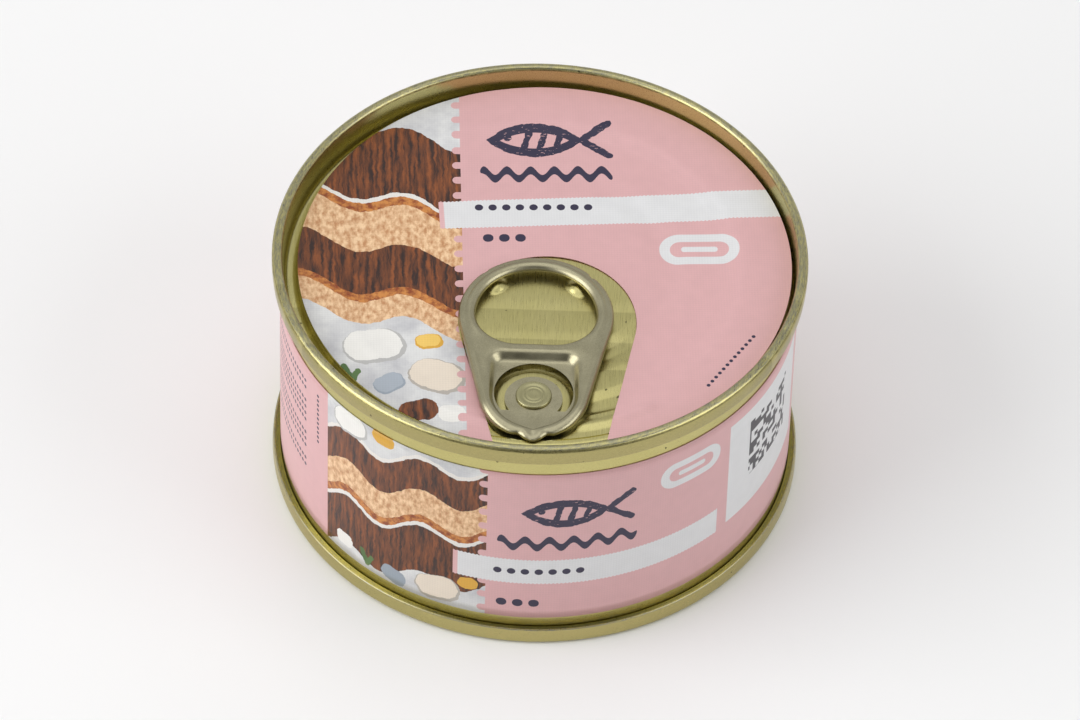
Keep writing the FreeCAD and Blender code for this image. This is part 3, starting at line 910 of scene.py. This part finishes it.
lid_print = printed_label("coated paper, lid print", "Object", {
    "turn": -2.7,
    "grain": 78,
    "swell": 15,
    "shore": [
        ("umber", -22, 20.2, 60, 12.4, -12, 0.1),
        ("E4E0DA", -22, 13.5, 60, 1.0, -12, 0.1),
        ("rust", -22, 12.2, 60, 2.0, -12, 0.1),
        ("sand", -22, 7.6, 60, 7.8, -12, 0.1),
        ("umber", -22, -0.4, 60, 8.4, -12, 0.1),
        ("rust", -22, -5.2, 60, 1.6, -12, 0.1),
        ("sand", -22, -8.0, 60, 4.2, -12, 0.1),
        ("B9B8B6", -23.6, -15.2, 9.0, 6.6, 14, 3.2),
        ("ECEAE5", -23.8, -14.9, 8.2, 5.9, 14, 2.9),
        ("B4ADA4", -14.9, -20.8, 8.2, 6.4, -20, 3.1),
        ("E6D9C8", -15.1, -20.5, 7.4, 5.7, -20, 2.8),
        ("96A0AB", -21.6, -22.4, 4.6, 3.4, 30, 1.6),
        ("A8B0BA", -21.7, -22.2, 4.2, 3.0, 30, 1.4),
        ("D9A53A", -15.9, -14.0, 4.0, 3.0, 8, 1.4),
        ("EFC766", -16.0, -13.8, 3.4, 2.5, 8, 1.2),
        ("umber", -17.6, -27.6, 5.6, 3.8, 10, 1.8),
        ("ECEAE5", -12.9, -28.2, 3.8, 3.0, 0, 1.4),
        ("4B6A36", -27.4, -20.4, 1.0, 3.6, 24, 0.5),
        ("557540", -26.4, -21.0, 1.0, 3.0, -24, 0.5),
    ],
    "edge": -10.9,
    "field": (29.1, 0, 80, 90),
    "fields": [],
    "band": (13.6, 11.5, 54, 5.35, 2.0),
    "fish": (0.8, 25.2, 9.6),
    "wave": (1.4, 18.6, 19),
    "ticks": [(-0.6, 12.0, 17.55, 1.2, 0, 1.95), (26.4, -18.4, 12.35, 0.55, 54, 0.95)],
    "marks": [
        ("navy", -7.2, 6.0, 1.5, 1.5, 0, 0.7),
        ("navy", -4.9, 6.0, 1.5, 1.5, 0, 0.7),
        ("navy", -2.6, 6.0, 1.5, 1.5, 0, 0.7),
        ("white", 22.8, 3.6, 11.4, 5.8, 0, 2.8),
        ("pink", 22.8, 3.6, 8.4, 2.9, 0, 1.4),
        ("white", 22.8, 3.6, 5.2, 1.0, 0, 0.45),
    ],
    "scatter": [],
})
piece("lid_paper", paper, lid_print, "lid_paper", "lid_label", crease=50)

# ------------------------------------------------------------------------------------------------
# Side label: a strip of the same paper wrapped round the wall, its end glued over its start at
# the back. Its print repeats the lid's, with a white panel at the right.
# ------------------------------------------------------------------------------------------------
label_low, label_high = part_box("side_label")
WRAP_RADIUS = WALL_RADIUS + 0.03 * MM
AROUND = 2 * math.pi * WRAP_RADIUS
OVERLAP = 5.0 * MM
strip = bmesh.new()
bmesh.ops.create_grid(strip, x_segments=720, y_segments=20, size=0.5, calc_uvs=True)
print_map = strip.loops.layers.uv.new("print")
for vert in strip.verts:
    vert.co.x = vert.co.x * (AROUND + OVERLAP) + OVERLAP / 2
    vert.co.y = label_low.z + (vert.co.y + 0.5) * (label_high.z - label_low.z)
for face in strip.faces:
    for loop in face.loops:
        loop[print_map].uv = (loop.vert.co.x, loop.vert.co.y)
for vert in strip.verts:
    along, high = vert.co.x, vert.co.y
    wave = 0.015 * noise.noise(Vector((along, high, 9)) * 150) * MM
    lift = 0.11 * MM * ramp(along, AROUND / 2 - 1.2 * MM, AROUND / 2 + 0.3 * MM)
    turn = along / WRAP_RADIUS
    radius = WRAP_RADIUS + abs(wave) + lift
    vert.co = (radius * math.sin(turn), -radius * math.cos(turn), high)
bmesh.ops.recalc_face_normals(strip, faces=strip.faces)
strip.faces.ensure_lookup_table()
middle = strip.faces[len(strip.faces) // 2]
if middle.normal.dot(middle.calc_center_median() * Vector((1, 1, 0))) < 0:
    bmesh.ops.reverse_faces(strip, faces=strip.faces)
side_print = printed_label("coated paper, side print", "UV", {
    "turn": 0,
    "grain": 102,
    "swell": 13,
    "shore": [
        ("umber", -20, 12.4, 60, 9.4, 11, 0.1),
        ("E4E0DA", -20, 17.7, 60, 0.9, 11, 0.1),
        ("rust", -20, 18.8, 60, 1.6, 11, 0.1),
        ("sand", -20, 22.3, 60, 5.6, 11, 0.1),
        ("umber", -20, 28.0, 60, 6.2, 11, 0.1),
        ("E4E0DA", -20, 31.5, 60, 0.8, 11, 0.1),
        ("B9B8B6", -28.6, 32.6, 6.8, 4.6, 10, 2.2),
        ("ECEAE5", -28.7, 32.8, 6.2, 4.1, 10, 2.0),
        ("D9A53A", -22.4, 34.0, 3.8, 2.8, 0, 1.3),
        ("B4ADA4", -13.4, 7.6, 7.0, 5.0, 12, 2.4),
        ("E6D9C8", -13.5, 7.8, 6.4, 4.4, 12, 2.1),
        ("96A0AB", -20.4, 6.4, 4.2, 3.0, -14, 1.4),
        ("D9A53A", -8.9, 10.2, 3.0, 2.4, 0, 1.1),
        ("ECEAE5", -29.6, 7.4, 3.4, 2.6, 0, 1.2),
        ("4B6A36", -25.6, 6.9, 0.9, 3.2, 24, 0.4),
        ("557540", -24.7, 6.5, 0.9, 2.8, -24, 0.4),
    ],
    "edge": -6.3,
    "field": (33.7, 20, 80, 60),
    "fields": [(-77.0, 20, 87, 60), (95, 20, 90, 60)],
    "band": (9.3, 14.3, 39.4, 5.0, 0),
    "fish": (5.6, 26.6, 8.6),
    "wave": (5.2, 20.3, 20),
    "ticks": [(1.2, 14.3, 13.65, 1.2, 0, 1.95), (-36.0, 27.0, 10.45, 0.55, 90, 0.95)] + [
        (-50.5, 31.6 - 1.35 * line, 22.5, 0.62, 0, 0.9)
        for line in (0, 1, 3, 4, 5, 6, 8, 9, 10, 12, 13)
    ],
    "marks": [
        ("navy", -4.0, 7.6, 1.5, 1.5, 0, 0.7),
        ("navy", -1.7, 7.6, 1.5, 1.5, 0, 0.7),
        ("navy", 0.6, 7.6, 1.5, 1.5, 0, 0.7),
        ("white", 23.8, 29.2, 10.4, 5.0, 0, 2.4),
        ("pink", 23.8, 29.2, 7.6, 2.5, 0, 1.2),
        ("white", 23.8, 29.2, 4.6, 0.9, 0, 0.4),
        ("white", 41.4, 22.3, 20.9, 20.1, 0, 0.1),
    ],
    "scatter": [(41.3, 23.9, 11.3, 11.2, 0.8)],
})
wrap = piece("side_paper", strip, side_print, "side_paper", "side_label", crease=50)
thick = wrap.modifiers.new("thick", "SOLIDIFY")
thick.thickness = 0.09 * MM
thick.offset = 1

# ------------------------------------------------------------------------------------------------
# The studio: a pale floor, one large soft lamp low at the left, a weaker one at the right and a
# plain sky that is dimmer towards the viewer, with a dark place where the viewer stands. The camera
# looks down at the can's front.
# ------------------------------------------------------------------------------------------------
scene = bpy.context.scene
scene.view_settings.view_transform = "Standard"
eye = bpy.data.cameras.new("camera")
eye.lens = 254.94
eye.sensor_width = 36
eye.clip_start = 0.05
eye.clip_end = 20
camera = bpy.data.objects.new("camera", eye)
camera.location = (0, -0.74395, 0.82694)
camera.rotation_euler = [math.radians(turn) for turn in (42.60197, -1.23702, 1.31060)]
scene.collection.objects.link(camera)
scene.camera = camera

ground = bmesh.new()
bmesh.ops.create_circle(ground, cap_ends=True, segments=96, radius=1.6)
data = bpy.data.meshes.new("floor")
ground.to_mesh(data)
ground.free()
floor = bpy.data.objects.new("floor", data)
scene.collection.objects.link(floor)
backdrop, tree, shader = finish("white paper backdrop", Roughness=0.9, Specular_IOR_Level=0.1)
shader["Base Color"].default_value = (0.9, 0.9, 0.9, 1)
data.materials.append(backdrop)


def softbox(name, power, size, place):
    """A square soft lamp that faces the can."""
    light = bpy.data.lights.new(name, "AREA")
    light.energy = power
    light.size = size
    made = bpy.data.objects.new(name, light)
    made.location = place
    towards = Vector((0, 0, 20 * MM)) - Vector(place)
    made.rotation_euler = towards.to_track_quat("-Z", "Y").to_euler()
    scene.collection.objects.link(made)


softbox("left softbox", 8.8, 1.0, (-0.95, -0.3, 0.62))
softbox("right softbox", 3.8, 0.8, (0.95, -0.35, 0.7))
softbox("overhead softbox", 3.1, 1.2, (-0.1, 0.1, 1.3))

VIEWER = (0, -0.669, 0.743)  # the way from the can to the viewer, who blocks some of the sky
BACKDROP = 0.93  # the sky's strength where the camera sees it
world = bpy.data.worlds.new("studio")
scene.world = world
world.use_nodes = True
tree = world.node_tree
ray = node(tree, "LightPath")["Is Camera Ray"]
aim = node(tree, "TexCoord")["Generated"]
parts = node(tree, "SeparateXYZ", {"Vector": aim})
room = node(tree, "MapRange", {
    "Value": parts["Y"], "From Min": -0.9, "From Max": 0.35, "To Min": 0.34, "To Max": 0.62,
})[0]
facing = node(tree, "VectorMath", {0: aim, 1: VIEWER}, operation="DOT_PRODUCT")["Value"]
viewer = node(tree, "MapRange", {
    "Value": facing, "From Min": 0.93, "From Max": 0.985, "To Min": 1.0, "To Max": 0.15,
})[0]
room = node(tree, "Math", {0: room, 1: viewer}, operation="MULTIPLY")[0]
seen = node(tree, "Mix", {0: ray, 2: room, 3: BACKDROP}, data_type="FLOAT")[0]
sky = tree.nodes["Background"].inputs
sky["Color"].default_value = (1, 1, 1, 1)
tree.links.new(seen, sky["Strength"])
